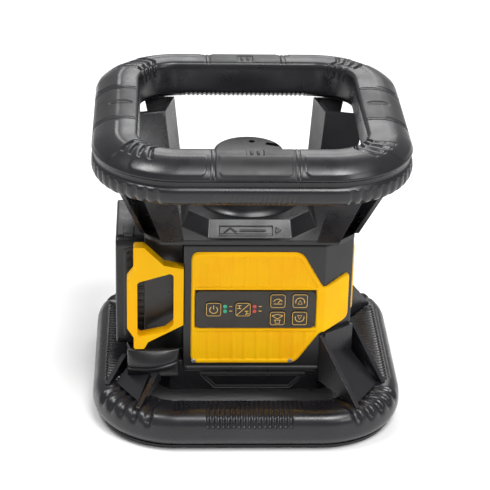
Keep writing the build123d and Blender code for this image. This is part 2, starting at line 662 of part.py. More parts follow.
with BuildPart() as gimbal_bracket:
    with BuildSketch(Plane.XY.offset(DECK_BOTTOM)):
        Rectangle(90, 108)
        Rectangle(80, 80, mode=Mode.SUBTRACT)
    extrude(amount=-3)
    with Locations((0, (ARM_INNER + ARM_OUTER) / 2, (DECK_BOTTOM + PIVOT_Z - 10) / 2),
                   (0, -(ARM_INNER + ARM_OUTER) / 2, (DECK_BOTTOM + PIVOT_Z - 10) / 2)):
        Box(18, ARM_OUTER - ARM_INNER, DECK_BOTTOM - PIVOT_Z + 10)
    with BuildSketch(TRUNNION_PLANE):
        Circle(JOURNAL + RUNNING_FIT)
    extrude(amount=2 * ARM_OUTER, mode=Mode.SUBTRACT)
save(gimbal_bracket.part, "gimbal_bracket")

with BuildPart() as gimbal_ring:
    with Locations((0, 0, PIVOT_Z)):
        Box(2 * RING_OUT, 2 * RING_OUT, 2 * RING_HALF_HEIGHT)
        Box(2 * RING_IN, 2 * RING_IN, 2 * RING_HALF_HEIGHT, mode=Mode.SUBTRACT)
    for side in (-1, 1):
        journal_plane = Plane(origin=(0, side * RING_OUT, PIVOT_Z), x_dir=(1, 0, 0), z_dir=(0, side, 0))
        with BuildSketch(journal_plane):
            Circle(JOURNAL)
        extrude(amount=ARM_OUTER - RING_OUT)
    with BuildSketch(Plane.YZ.offset(-RING_OUT)):
        with Locations((0, PIVOT_Z)):
            Circle(JOURNAL + RUNNING_FIT)
    extrude(amount=2 * RING_OUT, mode=Mode.SUBTRACT)
    with Locations(((RING_OUT + LEVER_Y_REACH) / 2, -5, PIVOT_Z)):
        Box(LEVER_Y_REACH - RING_OUT + 4, 4, 4)
    lever_plane = Plane(origin=(LEVER_Y_REACH, -5, PIVOT_Z), x_dir=(1, 0, 0), z_dir=(0, 1, 0))
    with BuildSketch(lever_plane):
        Circle(2)
    extrude(amount=10)
    with Locations((SCREW_X_AT[0], 30, 102)):
        Box(12, 3, 2 * (PIVOT_Z - RING_HALF_HEIGHT - 102))
    with Locations((SCREW_X_AT[0], 25.75, 80)):
        Box(12, 11.5, 3)
save(gimbal_ring.part, "gimbal_ring")

with BuildPart() as level_motor_y:
    with BuildSketch(Plane.XY.offset(60)):
        with Locations(SCREW_Y_AT):
            Circle(9)
    extrude(amount=34)
    with BuildSketch(Plane.XY.offset(94)):
        with Locations(SCREW_Y_AT):
            Circle(4)
            Circle(SCREW_Y_RADIUS + RUNNING_FIT, mode=Mode.SUBTRACT)
    extrude(amount=4)
    with BuildSketch(Plane.XY.offset(90)):
        with Locations(SCREW_Y_AT):
            Circle(SCREW_Y_RADIUS + RUNNING_FIT)
    extrude(amount=4, mode=Mode.SUBTRACT)
save(level_motor_y.part, "level_motor_y")

with BuildPart() as level_screw_y:
    with BuildSketch(Plane.XY.offset(90.3)):
        with Locations(SCREW_Y_AT):
            Circle(SCREW_Y_RADIUS)
    extrude(amount=142 - 90.3)
save(level_screw_y.part, "level_screw_y")

with BuildPart() as level_nut_y:
    with Locations((SCREW_Y_AT[0], SCREW_Y_AT[1], PIVOT_Z)):
        Box(10, 9, 12)
    with Locations((SCREW_Y_AT[0], 3.5, PIVOT_Z + 4 + FORK_GAP / 2),
                   (SCREW_Y_AT[0], 3.5, PIVOT_Z - 4 - FORK_GAP / 2)):
        Box(10, 6, 4 - FORK_GAP)
    with BuildSketch(Plane.XY.offset(PIVOT_Z - 6)):
        with Locations(SCREW_Y_AT):
            Circle(SCREW_Y_RADIUS + RUNNING_FIT)
    extrude(amount=12, mode=Mode.SUBTRACT)
save(level_nut_y.part, "level_nut_y")

with BuildPart() as level_motor_x:
    with BuildSketch(Plane.XY.offset(81.5)):
        with Locations(SCREW_X_AT):
            Circle(4.4)
    extrude(amount=14.5)
    with BuildSketch(Plane.XY.offset(92)):
        with Locations(SCREW_X_AT):
            Circle(SCREW_X_RADIUS + RUNNING_FIT)
    extrude(amount=4, mode=Mode.SUBTRACT)
save(level_motor_x.part, "level_motor_x")

with BuildPart() as level_screw_x:
    with BuildSketch(Plane.XY.offset(92.3)):
        with Locations(SCREW_X_AT):
            Circle(SCREW_X_RADIUS)
    extrude(amount=140 - 92.3)
save(level_screw_x.part, "level_screw_x")

with BuildPart() as level_nut_x:
    with Locations((SCREW_X_AT[0], SCREW_X_AT[1], PIVOT_Z)):
        Box(7, 7, 10)
    with Locations((SCREW_X_AT[0] - 5.5, SCREW_X_AT[1], PIVOT_Z + 3.3),
                   (SCREW_X_AT[0] - 5.5, SCREW_X_AT[1], PIVOT_Z - 3.3)):
        Box(4, 7, 3.4 - FORK_GAP)
    with BuildSketch(Plane.XY.offset(PIVOT_Z - 5)):
        with Locations(SCREW_X_AT):
            Circle(SCREW_X_RADIUS + RUNNING_FIT)
    extrude(amount=10, mode=Mode.SUBTRACT)
save(level_nut_x.part, "level_nut_x")

# ---- laser barrel -------------------------------------------------------------------------------
with BuildPart() as laser_barrel:
    with BuildSketch(Plane.XY.offset(BARREL_BOTTOM)):
        Circle(BARREL_RADIUS)
    extrude(amount=BARREL_TOP - BARREL_BOTTOM)
    with Locations((0, 0, PIVOT_Z)):
        Box(2 * BLOCK_HALF, 2 * BLOCK_HALF, 2 * BLOCK_HALF_HEIGHT)
    for side in (-1, 1):
        with BuildSketch(Plane(origin=(side * BLOCK_HALF, 0, PIVOT_Z), x_dir=(0, 1, 0), z_dir=(side, 0, 0))):
            Circle(JOURNAL)
        extrude(amount=RING_OUT - BLOCK_HALF)
    with Locations((-1.5, (BLOCK_HALF + LEVER_X_REACH) / 2, PIVOT_Z)):
        Box(3, LEVER_X_REACH - BLOCK_HALF + 2, 3)
    with BuildSketch(Plane(origin=(-3, LEVER_X_REACH, PIVOT_Z), x_dir=(0, 1, 0), z_dir=(1, 0, 0))):
        Circle(1.5)
    extrude(amount=8)
    with BuildSketch(Plane.XY.offset(BARREL_TOP)):
        Circle(NECK_RADIUS)
    extrude(amount=NECK_TOP - BARREL_TOP)
    with BuildSketch(Plane.XY.offset(NECK_TOP)):
        Circle(NECK_BORE)
    extrude(amount=BARREL_BOTTOM - NECK_TOP, mode=Mode.SUBTRACT)
    with BuildSketch(Plane.XY.offset(BARREL_BOTTOM)):
        Circle(BARREL_BORE)
    extrude(amount=50, mode=Mode.SUBTRACT)
save(laser_barrel.part, "laser_barrel")

with BuildPart() as laser_diode:
    with BuildSketch(Plane.XY.offset(BARREL_BOTTOM)):
        Circle(BARREL_BORE)
    extrude(amount=12)
    with BuildSketch(Plane.XY.offset(BARREL_BOTTOM)):
        Circle(BARREL_BORE - 3)
    extrude(amount=-6)
save(laser_diode.part, "laser_diode")

with BuildPart() as collimator_lens:
    with BuildSketch(Plane.XY.offset(104)):
        Circle(BARREL_BORE)
    extrude(amount=5)
save(collimator_lens.part, "collimator_lens")

with BuildPart() as tilt_sensor:
    with Locations((0, -BLOCK_HALF - 2.5, PIVOT_Z)):
        Box(26, 5, 12)
save(tilt_sensor.part, "tilt_sensor")

with BuildPart() as spin_stator:
    with BuildSketch(Plane.XY.offset(HUB_BOTTOM)):
        Circle(STATOR_RADIUS)
        Circle(NECK_RADIUS, mode=Mode.SUBTRACT)
    extrude(amount=8)
    with BuildSketch(Plane.XY.offset(BARREL_TOP)):
        Circle(BARREL_RADIUS)
        Circle(NECK_RADIUS, mode=Mode.SUBTRACT)
    extrude(amount=HUB_BOTTOM - BARREL_TOP)
save(spin_stator.part, "spin_stator")

with BuildPart() as rotor_bearings:
    for bearing_z in (157, 165):
        with BuildSketch(Plane.XY.offset(bearing_z)):
            Circle(BEARING_RADIUS)
            Circle(NECK_RADIUS, mode=Mode.SUBTRACT)
        extrude(amount=4)
save(rotor_bearings.part, "rotor_bearings")

# ---- rotor --------------------------------------------------------------------------------------
SLEEVE_BORE = BEARING_RADIUS + RUNNING_FIT
SLEEVE_RADIUS = 16.5

with BuildPart() as rotor_hub:
    with BuildSketch(Plane.XZ):
        Polygon((SLEEVE_BORE, 156.5), (SLEEVE_RADIUS, 156.5), (SLEEVE_RADIUS, 160), (MAGNET_RADIUS, 160),
                (MAGNET_RADIUS, HUB_BOTTOM), (HUB_RADIUS, HUB_BOTTOM), (HUB_RADIUS, 163),
                (SLEEVE_RADIUS + 2, 165), (22, 170.4), (22, HUB_TOP), (7, HUB_TOP), (7, 170.4),
                (SLEEVE_BORE, 170.4), align=None)
    revolve(axis=Axis.Z)
    with BuildSketch(Plane.XY.offset(HUB_TOP)):
        Circle(21)
        Circle(16.5, mode=Mode.SUBTRACT)
        Rectangle(60, 22, mode=Mode.SUBTRACT)
    extrude(amount=CAP_BOTTOM - HUB_TOP)
save(rotor_hub.part, "rotor_hub")

with BuildPart() as magnet_ring:
    with BuildSketch(Plane.XY.offset(HUB_BOTTOM)):
        Circle(MAGNET_RADIUS)
        Circle(STATOR_RADIUS + AIR_GAP, mode=Mode.SUBTRACT)
    extrude(amount=9)
save(magnet_ring.part, "magnet_ring")

with BuildPart() as prism:
    with Locations((0, 0, (HUB_TOP + CAP_BOTTOM) / 2)):
        Box(15, 15, CAP_BOTTOM - HUB_TOP)
    chamfer(prism.edges().filter_by(Axis.Y).group_by(Axis.X)[-1], length=4)
save(prism.part, "prism")

with BuildPart() as rotor_cap:
    with BuildSketch(Plane.XY.offset(CAP_BOTTOM)):
        Circle(CAP_RADIUS)
    extrude(amount=CAP_TOP - CAP_BOTTOM)
    fillet(rotor_cap.edges().group_by(Axis.Z)[-1], radius=2.5)
    fillet(rotor_cap.edges().group_by(Axis.Z)[0], radius=1)
    with BuildSketch(Plane.XY.offset(CAP_TOP)):
        with Locations((3, 15.8)):
            Circle(2.4)
        with Locations((19, 10)):
            Rectangle(11, 5, rotation=-20)
    extrude(amount=-3, mode=Mode.SUBTRACT)
save(rotor_cap.part, "rotor_cap")
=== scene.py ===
"""Looks of the caged rotating laser level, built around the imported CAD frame."""
import json
import math

import bpy
import numpy as np
from mathutils import Matrix, Vector


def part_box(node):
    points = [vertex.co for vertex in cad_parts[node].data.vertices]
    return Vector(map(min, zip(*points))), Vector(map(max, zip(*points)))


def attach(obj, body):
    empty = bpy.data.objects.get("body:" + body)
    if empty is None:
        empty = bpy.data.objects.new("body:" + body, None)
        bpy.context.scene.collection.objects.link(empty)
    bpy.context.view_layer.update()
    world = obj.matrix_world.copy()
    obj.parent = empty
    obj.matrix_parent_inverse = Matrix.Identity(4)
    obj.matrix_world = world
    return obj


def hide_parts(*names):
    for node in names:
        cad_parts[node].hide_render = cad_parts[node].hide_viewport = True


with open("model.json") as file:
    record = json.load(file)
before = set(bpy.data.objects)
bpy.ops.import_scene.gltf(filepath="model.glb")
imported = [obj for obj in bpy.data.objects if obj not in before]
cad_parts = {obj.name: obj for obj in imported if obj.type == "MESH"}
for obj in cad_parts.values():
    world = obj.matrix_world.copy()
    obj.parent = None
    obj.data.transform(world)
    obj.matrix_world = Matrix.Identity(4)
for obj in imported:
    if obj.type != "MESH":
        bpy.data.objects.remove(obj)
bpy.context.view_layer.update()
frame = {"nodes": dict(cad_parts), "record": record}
NODES = frame["nodes"]
MM = 0.001


# ---- materials ----------------------------------------------------------------------------------
def new_material(name):
    """An empty node material with its shader, and the node tree to add to."""
    material = bpy.data.materials.new(name)
    material.use_nodes = True
    tree = material.node_tree
    return material, tree, tree.nodes["Principled BSDF"]


def noise(tree, scale, detail=4.0, roughness=0.55, stretch=(1, 1, 1)):
    """Object-space noise with an optional stretch, as a 0..1 factor."""
    coords = tree.nodes.new("ShaderNodeTexCoord")
    mapping = tree.nodes.new("ShaderNodeMapping")
    mapping.inputs["Scale"].default_value = stretch
    texture = tree.nodes.new("ShaderNodeTexNoise")
    texture.inputs["Scale"].default_value = scale
    texture.inputs["Detail"].default_value = detail
    texture.inputs["Roughness"].default_value = roughness
    tree.links.new(coords.outputs["Object"], mapping.inputs["Vector"])
    tree.links.new(mapping.outputs["Vector"], texture.inputs["Vector"])
    return texture.outputs["Fac"]


def ramp(tree, factor, low, high, start=0.3, end=0.7):
    """Map a factor onto a two-stop ramp of colours or greys."""
    node = tree.nodes.new("ShaderNodeValToRGB")
    node.color_ramp.elements[0].position = start
    node.color_ramp.elements[1].position = end
    node.color_ramp.elements[0].color = (*low, 1) if isinstance(low, tuple) else (low, low, low, 1)
    node.color_ramp.elements[1].color = (*high, 1) if isinstance(high, tuple) else (high, high, high, 1)
    tree.links.new(factor, node.inputs["Fac"])
    return node.outputs["Color"]


def moulded(name, dark, light, rough, grain=1400.0, bump=0.15, coat=0.0, wear=0.0, scuffs=True, specular=0.5):
    """Moulded plastic or rubber: mottled colour, uneven gloss, fine spark grain and rubbed edges."""
    material, tree, shader = new_material(name)
    mottle = noise(tree, 28.0, 5.0)
    colour = ramp(tree, mottle, dark, light)
    if wear:
        geometry = tree.nodes.new("ShaderNodeNewGeometry")
        edge = ramp(tree, geometry.outputs["Pointiness"], 0.0, 1.0, 0.52, 0.62)
        patchy = noise(tree, 90.0, 6.0)
        both = tree.nodes.new("ShaderNodeMath")
        both.operation = "MULTIPLY"
        tree.links.new(edge, both.inputs[0])
        tree.links.new(patchy, both.inputs[1])
        rub = tree.nodes.new("ShaderNodeMix")
        rub.data_type = "RGBA"
        rub.inputs["B"].default_value = tuple(min(1.0, c * (1 + wear) + 0.02) for c in light) + (1,)
        tree.links.new(both.outputs[0], rub.inputs["Factor"])
        tree.links.new(colour, rub.inputs["A"])
        colour = rub.outputs["Result"]
    tree.links.new(colour, shader.inputs["Base Color"])
    gloss = ramp(tree, noise(tree, 60.0, 6.0), rough - 0.06, rough + 0.08)
    tree.links.new(gloss, shader.inputs["Roughness"])
    fine = noise(tree, grain, 3.0, 0.6)
    first = tree.nodes.new("ShaderNodeBump")
    first.inputs["Strength"].default_value = bump
    first.inputs["Distance"].default_value = 0.00012
    tree.links.new(fine, first.inputs["Height"])
    last = first
    if scuffs:
        marks = noise(tree, 220.0, 8.0, 0.7, (1.0, 1.0, 0.12))
        last = tree.nodes.new("ShaderNodeBump")
        last.inputs["Strength"].default_value = 0.03
        last.inputs["Distance"].default_value = 0.0003
        tree.links.new(ramp(tree, marks, 0.0, 1.0, 0.45, 0.75), last.inputs["Height"])
        tree.links.new(first.outputs["Normal"], last.inputs["Normal"])
    tree.links.new(last.outputs["Normal"], shader.inputs["Normal"])
    shader.inputs["Specular IOR Level"].default_value = specular
    shader.inputs["Coat Weight"].default_value = coat
    shader.inputs["Coat Roughness"].default_value = 0.25
    return material


def metal(name, colour, rough, brushed=(1, 1, 40)):
    """Machined or drawn metal with fine directional tool marks."""
    material, tree, shader = new_material(name)
    lines = noise(tree, 120.0, 6.0, 0.7, brushed)
    tree.links.new(ramp(tree, lines, tuple(c * 0.82 for c in colour), colour), shader.inputs["Base Color"])
    tree.links.new(ramp(tree, lines, rough - 0.06, rough + 0.1), shader.inputs["Roughness"])
    shader.inputs["Metallic"].default_value = 1.0
    ridge = tree.nodes.new("ShaderNodeBump")
    ridge.inputs["Strength"].default_value = 0.15
    ridge.inputs["Distance"].default_value = 0.0001
    tree.links.new(lines, ridge.inputs["Height"])
    tree.links.new(ridge.outputs["Normal"], shader.inputs["Normal"])
    return material


def glass(name, colour):
    """Polished optical glass with a faint coating tint."""
    material, tree, shader = new_material(name)
    tree.links.new(ramp(tree, noise(tree, 40.0), colour, tuple(min(1, c * 1.1) for c in colour)),
                   shader.inputs["Base Color"])
    tree.links.new(ramp(tree, noise(tree, 300.0), 0.01, 0.05), shader.inputs["Roughness"])
    shader.inputs["Transmission Weight"].default_value = 0.9
    shader.inputs["IOR"].default_value = 1.5
    return material


def lamp(name, colour):
    """A tinted indicator lens with a faint inner glow."""
    material, tree, shader = new_material(name)
    tree.links.new(ramp(tree, noise(tree, 500.0), tuple(c * 0.7 for c in colour), colour),
                   shader.inputs["Base Color"])
    tree.links.new(ramp(tree, noise(tree, 900.0), 0.12, 0.25), shader.inputs["Roughness"])
    shader.inputs["Emission Color"].default_value = (*colour, 1)
    shader.inputs["Emission Strength"].default_value = 0.15
    return material


MATERIALS = {
    "cage_nylon": moulded("cage_nylon", (0.006, 0.006, 0.008), (0.012, 0.012, 0.015), 0.29, wear=0.3),
    "pad_rubber": moulded("pad_rubber", (0.008, 0.008, 0.009), (0.014, 0.014, 0.016), 0.42, grain=2200.0),
    "case_plastic": moulded("case_plastic", (0.006, 0.006, 0.007), (0.011, 0.011, 0.013), 0.31, wear=0.3),
    "yellow_plastic": moulded("yellow_plastic", (1.0, 0.47, 0.0), (1.0, 0.56, 0.0), 0.45,
                              bump=0.12, specular=0.15),
    "keypad_film": moulded("keypad_film", (0.022, 0.018, 0.014), (0.034, 0.028, 0.022), 0.45,
                           grain=3000.0, scuffs=False),
    "button_rubber": moulded("button_rubber", (0.026, 0.021, 0.016), (0.038, 0.031, 0.024), 0.5,
                             grain=2600.0, scuffs=False),
    "lens_green": lamp("lens_green", (0.02, 0.42, 0.22)),
    "lens_red": lamp("lens_red", (0.55, 0.05, 0.05)),
    "board": moulded("board", (0.01, 0.10, 0.04), (0.02, 0.16, 0.06), 0.4, grain=800.0),
    "alloy": metal("alloy", (0.72, 0.73, 0.75), 0.32),
    "steel": metal("steel", (0.55, 0.56, 0.58), 0.28),
    "brass": metal("brass", (0.75, 0.56, 0.25), 0.3),
    "magnet": metal("magnet", (0.3, 0.3, 0.32), 0.35),
    "optic": glass("optic", (0.85, 0.92, 0.96)),
    "cell_wrap": moulded("cell_wrap", (0.05, 0.16, 0.45), (0.08, 0.22, 0.55), 0.3, coat=0.5),
}
SLOT_OF = {entry["node"]: entry["material_slot"] for entry in frame["record"]["subparts"]}


def soften(obj, width, segments=3, angle=30.0):
    """Round an object's sharp edges without touching its own mesh."""
    bevel = obj.modifiers.new("soften", "BEVEL")
    bevel.width = width * MM
    bevel.segments = segments
    bevel.limit_method = "ANGLE"
    bevel.angle_limit = math.radians(angle)
    bevel.harden_normals = False


for node_name, node in NODES.items():
    node.data.materials.clear()
    node.data.materials.append(MATERIALS[SLOT_OF[node_name]])


def round_node(name, width, segments=3):
    """Weld a CAD node's split corners and round its sharp edges, with modifiers only."""
    weld = NODES[name].modifiers.new("weld", "WELD")
    weld.merge_threshold = 0.00002
    soften(NODES[name], width, segments)


ROUNDED = {
    "housing_front": 1.6, "housing_rear": 1.6, "bottom_case": 1.4, "top_deck": 1.8, "battery_bay": 1.2,
    "turret_shroud": 1.0, "front_panel": 0.9, "side_panel": 0.9, "handle_frame": 2.6, "keypad_bezel": 0.5,
    "battery_case": 1.2, "battery_lid": 1.0, "battery_release": 0.8, "rotor_hub": 0.6, "terminal_block": 0.4,
    "post_front_left": 1.2, "post_front_right": 1.2, "post_rear_left": 1.2, "post_rear_right": 1.2,
    "leg_front_left": 1.0, "leg_front_right": 1.0, "leg_rear_left": 1.0, "leg_rear_right": 1.0,
}
for rounded_name, edge_width in ROUNDED.items():
    round_node(rounded_name, edge_width)


# ---- mesh helpers -------------------------------------------------------------------------------
def mesh_object(name, vertices, faces, material, body):
    """A mesh piece in the row frame that rides on a body; vertices are in millimetres."""
    mesh = bpy.data.meshes.new(name)
    mesh.from_pydata([tuple(float(c) * MM for c in vertex) for vertex in vertices], [], faces)
    mesh.update()
    mesh.shade_smooth()
    mesh.materials.append(MATERIALS[material])
    obj = bpy.data.objects.new(name, mesh)
    bpy.context.scene.collection.objects.link(obj)
    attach(obj, body)
    return obj


def chaikin(points, rounds):
    """Round a closed outline by cutting its corners."""
    points = np.array(points, float)
    for _ in range(rounds):
        following = np.roll(points, -1, axis=0)
        near, far = 0.75 * points + 0.25 * following, 0.25 * points + 0.75 * following
        points = np.stack([near, far], 1).reshape(-1, 2)
    return points


def resample(points, count):
    """Even spacing around a closed outline."""
    closed = np.vstack([points, points[:1]])
    lengths = np.concatenate([[0], np.cumsum(np.linalg.norm(np.diff(closed, axis=0), axis=1))])
    at = np.linspace(0, lengths[-1], count, endpoint=False)
    return np.stack([np.interp(at, lengths, closed[:, 0]), np.interp(at, lengths, closed[:, 1])], 1)


def step(value, start, end):
    """Smooth step from 0 at start to 1 at end."""
    x = np.clip((value - start) / (end - start), 0, 1)
    return x * x * (3 - 2 * x)


def band(value, low, high, soft):
    """1 between low and high, falling to 0 over the soft width outside."""
    return step(value, low - soft, low) * (1 - step(value, high, high + soft))


def groove(distance, width, soft=0.35):
    """1 in a groove of that width about distance 0."""
    return 1 - step(np.abs(distance), width / 2 - soft, width / 2 + soft)


# ---- cage rings ---------------------------------------------------------------------------------
RING_CORNER = 65.0
TOP_HALF = (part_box("top_ring_upper")[1][0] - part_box("top_ring_upper")[0][0]) / 2 / MM
BASE_HALF_X = (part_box("base_ring")[1][0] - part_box("base_ring")[0][0]) / 2 / MM
BASE_HALF_Y = (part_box("base_ring")[1][1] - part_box("base_ring")[0][1]) / 2 / MM


class RingGrid:
    """Stations round a rounded square, each with its outward direction and its place on its bar."""

    def __init__(self, half, corner, along_step=0.5, corner_steps=90):
        self.centre = half - corner
        straight = np.arange(-self.centre, self.centre, along_step)
        turns = (np.arange(corner_steps) + 0.5) / corner_steps
        mid_radius = corner - 17
        origin, outward, along, side, past = [], [], [], [], []
        for quarter in range(4):
            angle = quarter * math.pi / 2
            out = np.array([math.cos(angle), math.sin(angle)])
            run = np.array([-math.sin(angle), math.cos(angle)])
            for place in straight:
                origin.append(out * self.centre + run * place)
                outward.append(out)
                along.append(place)
                side.append(quarter)
                past.append(self.centre - abs(place) + mid_radius * math.pi / 4)
            corner_point = out * self.centre + run * self.centre
            for turn in turns:
                bend = angle + turn * math.pi / 2
                origin.append(corner_point)
                outward.append(np.array([math.cos(bend), math.sin(bend)]))
                travelled = turn * math.pi / 2 * mid_radius
                half_arc = mid_radius * math.pi / 4
                along.append(self.centre + travelled if turn < 0.5 else -(self.centre + 2 * half_arc - travelled))
                side.append(quarter if turn < 0.5 else (quarter + 1) % 4)
                past.append(abs(half_arc - travelled))
        self.origin, self.outward = np.array(origin), np.array(outward)
        self.along, self.side = np.array(along)[:, None], np.array(side)[:, None]
        self.from_corner = np.array(past)[:, None]
        sign = np.where(np.array(along) > 0, 1.0, -1.0)[:, None]
        self.corner_offset = self.from_corner * -sign

    def surface(self, profile, relief, scale=(1.0, 1.0)):
        """Grid of points: the profile swept round the ring and sunk by the relief."""
        tangent = np.roll(profile, -1, axis=0) - np.roll(profile, 1, axis=0)
        normal = np.stack([-tangent[:, 1], tangent[:, 0]], 1)
        normal /= np.linalg.norm(normal, axis=1)[:, None]
        reach = profile[None, :, 0] - relief * normal[None, :, 0] - self.centre
        height = profile[None, :, 1] - relief * normal[None, :, 1]
        flat = self.origin[:, None, :] + self.outward[:, None, :] * reach[..., None]
        return np.concatenate([flat * np.array(scale), height[..., None]], axis=2)


def split_grid(points, classes, names, material_of, body="chassis"):
    """One object for each class of the wrapped grid's quads."""
    stations, around = points.shape[:2]
    index = np.arange(stations * around).reshape(stations, around)
    ahead = np.roll(index, -1, 0)
    quads = np.stack([index, ahead, np.roll(ahead, -1, 1), np.roll(index, -1, 1)], 2)
    flat = points.reshape(-1, 3)
    pieces = []
    for key, name in enumerate(names):
        chosen = quads[classes == key]
        used, packed = np.unique(chosen, return_inverse=True)
        pieces.append(mesh_object(name, flat[used], packed.reshape(-1, 4).tolist(), material_of[key], body))
    return pieces


def rounded_pad(along, across, half_length, half_width, corner):
    """Signed distance to a rounded rectangle, negative inside."""
    dx = np.abs(along) - half_length + corner
    dy = np.abs(across) - half_width + corner
    outside = np.sqrt(np.maximum(dx, 0) ** 2 + np.maximum(dy, 0) ** 2)
    return outside + np.minimum(np.maximum(dx, dy), 0) - corner


def build_top_ring():
    """Top ring: ribs along the underside, pads and seams above, chevron grooves at the corners."""
    outline = [(83.5, 214), (83.5, 232), (85, 237), (90, 238), (99, 238), (108, 236), (115, 231.5),
               (118.5, 227.5), (118.6, 225.6), (116.4, 224.8), (116, 222), (116.4, 219.4), (118.9, 218.2),
               (119, 211), (116, 206), (110, 204), (100, 204), (90, 206.5), (84.5, 210.5)]
    profile = resample(chaikin(outline, 3), 132)
    grid = RingGrid(TOP_HALF, RING_CORNER)
    radius, height = profile[None, :, 0], profile[None, :, 1]
    along, side, offset = grid.along, grid.side, grid.corner_offset
    above = step(height, 226, 228)
    shoulder = np.hypot(radius - 99, height - 238)
    under = band(radius, 85, 101, 1.5) * (1 - step(height, 212, 214))
    ribs = 0.5 + 0.5 * np.cos(2 * np.pi * along / 3.6)
    relief = 1.0 * ribs * under * (1 - step(np.abs(along), 49, 51))
    face_ribs = band(height, 206.5, 213.5, 1.0) * step(radius, 113, 115) * (side % 2)
    relief = relief + 0.7 * ribs * face_ribs * (1 - step(np.abs(along), 30, 31.5))
    for seam in (28.6, 31.8):
        relief = relief + 0.5 * groove(np.abs(along) - seam, 0.9, 0.3) * above * step(radius, 85, 87)
    centre_pad = rounded_pad(along, shoulder - 9.5, 26.5, 11.0, 4)
    outer_pad = rounded_pad(np.abs(along) - 60, shoulder - 9.5, 25, 11.0, 5)
    outer_zone = step(radius, 99, 101) * step(height, 226, 227)
    for pad in (centre_pad, outer_pad):
        relief = relief - 0.45 * (1 - step(pad, -0.9, 0.0)) * outer_zone
    mark = band(np.abs(along), -1, 6.2, 0.3) * band(radius, 88.5, 99.5, 0.4) * above * (side % 2)
    ticks = groove(np.abs(along) - 2.4, 1.8, 0.3) * band(radius, 90.5, 97, 0.4) * above * (side % 2)
    relief = relief + 0.6 * mark - 0.6 * ticks
    leaf = np.hypot(along / 5.0, (radius - 98) / 9.0)
    leaf_line = groove(along, 0.9, 0.3) * band(radius, 91, 105, 0.4)
    relief = relief + (0.7 * (1 - step(leaf, 0.9, 1.02)) - 0.4 * leaf_line) * above * (1 - side % 2)
    bend = np.where(radius < 92, (92 - radius) * 0.7, (radius - 92) * 0.45)
    chevrons = np.zeros_like(relief)
    for place in (-12.0, -4.2, 3.6, 11.4):
        chevrons = np.maximum(chevrons, groove(offset - place - bend, 3.0, 0.7))
    chevron_zone = band(radius, 84.5, 106, 1.5) * step(height, 226, 230)
    relief = relief + 1.7 * chevrons * chevron_zone
    notches = groove(((offset + 30) % 6.5) - 3.25, 2.4, 0.6) * (1 - step(np.abs(offset), 26, 28))
    relief = relief + 1.3 * notches * step(radius, 112, 115) * band(height, 205.5, 217.5, 1.0)
    points = grid.surface(profile, relief)
    upper = np.broadcast_to(height > 221.5, relief.shape)
    pads = (np.abs(along) < 28.6) & (radius > 86) & (height > 227)
    classes = np.where(pads, 2, np.where(upper, 1, 0))
    names = ["top_ring_lower_moulding", "top_ring_upper_moulding", "ring_pad_mouldings"]
    pieces = split_grid(points, classes, names, ["cage_nylon", "cage_nylon", "pad_rubber"])
    for piece, node in zip(pieces, ("top_ring_lower", "top_ring_upper", "ring_pads")):
        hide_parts(node)


def build_base_ring():
    """Base ring: ribbed inner slope, a ribbed grip on each ridge and deep finger grooves at the corners."""
    outline = [(80, 8), (80, 20), (81.5, 24.5), (92, 27.5), (101, 29.6), (108, 30.4), (114, 29), (118, 24.5),
               (119, 18), (119, 11), (116, 6), (112, 3), (100, 3), (88, 3), (81, 4)]
    profile = resample(chaikin(outline, 3), 126)
    grid = RingGrid(BASE_HALF_Y, RING_CORNER, 0.6)
    radius, height = profile[None, :, 0], profile[None, :, 1]
    along, side, offset = grid.along, grid.side, grid.corner_offset
    front = side % 2
    pitch = np.where(front == 1, 3.6, 4.2)
    ribs = 0.5 + 0.5 * np.cos(2 * np.pi * along / pitch)
    slope = band(radius, 82.5, np.where(front == 1, 104, 108), 1.2) * step(height, 22, 24)
    relief = 1.5 * ribs * slope * (1 - step(np.abs(along), 60, 62))
    ridge = band(radius, 105.5, 118.5, 0.8) * step(height, 21, 23) * front
    ridge_ribs = 0.5 + 0.5 * np.cos(2 * np.pi * along / 3.9)
    relief = relief + 1.5 * ridge_ribs * ridge * (1 - step(np.abs(along), 32, 33))
    border = groove(radius - 111.5, 1.0, 0.3) * step(height, 25, 27) * (1 - front)
    relief = relief + 0.5 * border * (1 - step(np.abs(along), 56, 58))
    fingers = np.zeros_like(relief)
    for place in (-18.0, -9.0, 0.0, 9.0, 18.0):
        fingers = np.maximum(fingers, groove(offset - place - (radius - 100) * 0.12, 4.2, 1.3))
    finger_zone = band(radius, 84, 117.5, 2.0) * step(height, 16, 24)
    relief = relief + 2.6 * fingers * finger_zone
    points = grid.surface(profile, relief, (BASE_HALF_X / BASE_HALF_Y, 1.0))
    classes = np.zeros(relief.shape, int)
    piece, = split_grid(points, classes, ["base_ring_moulding"], ["cage_nylon"])
    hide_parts("base_ring")


build_top_ring()
build_base_ring()


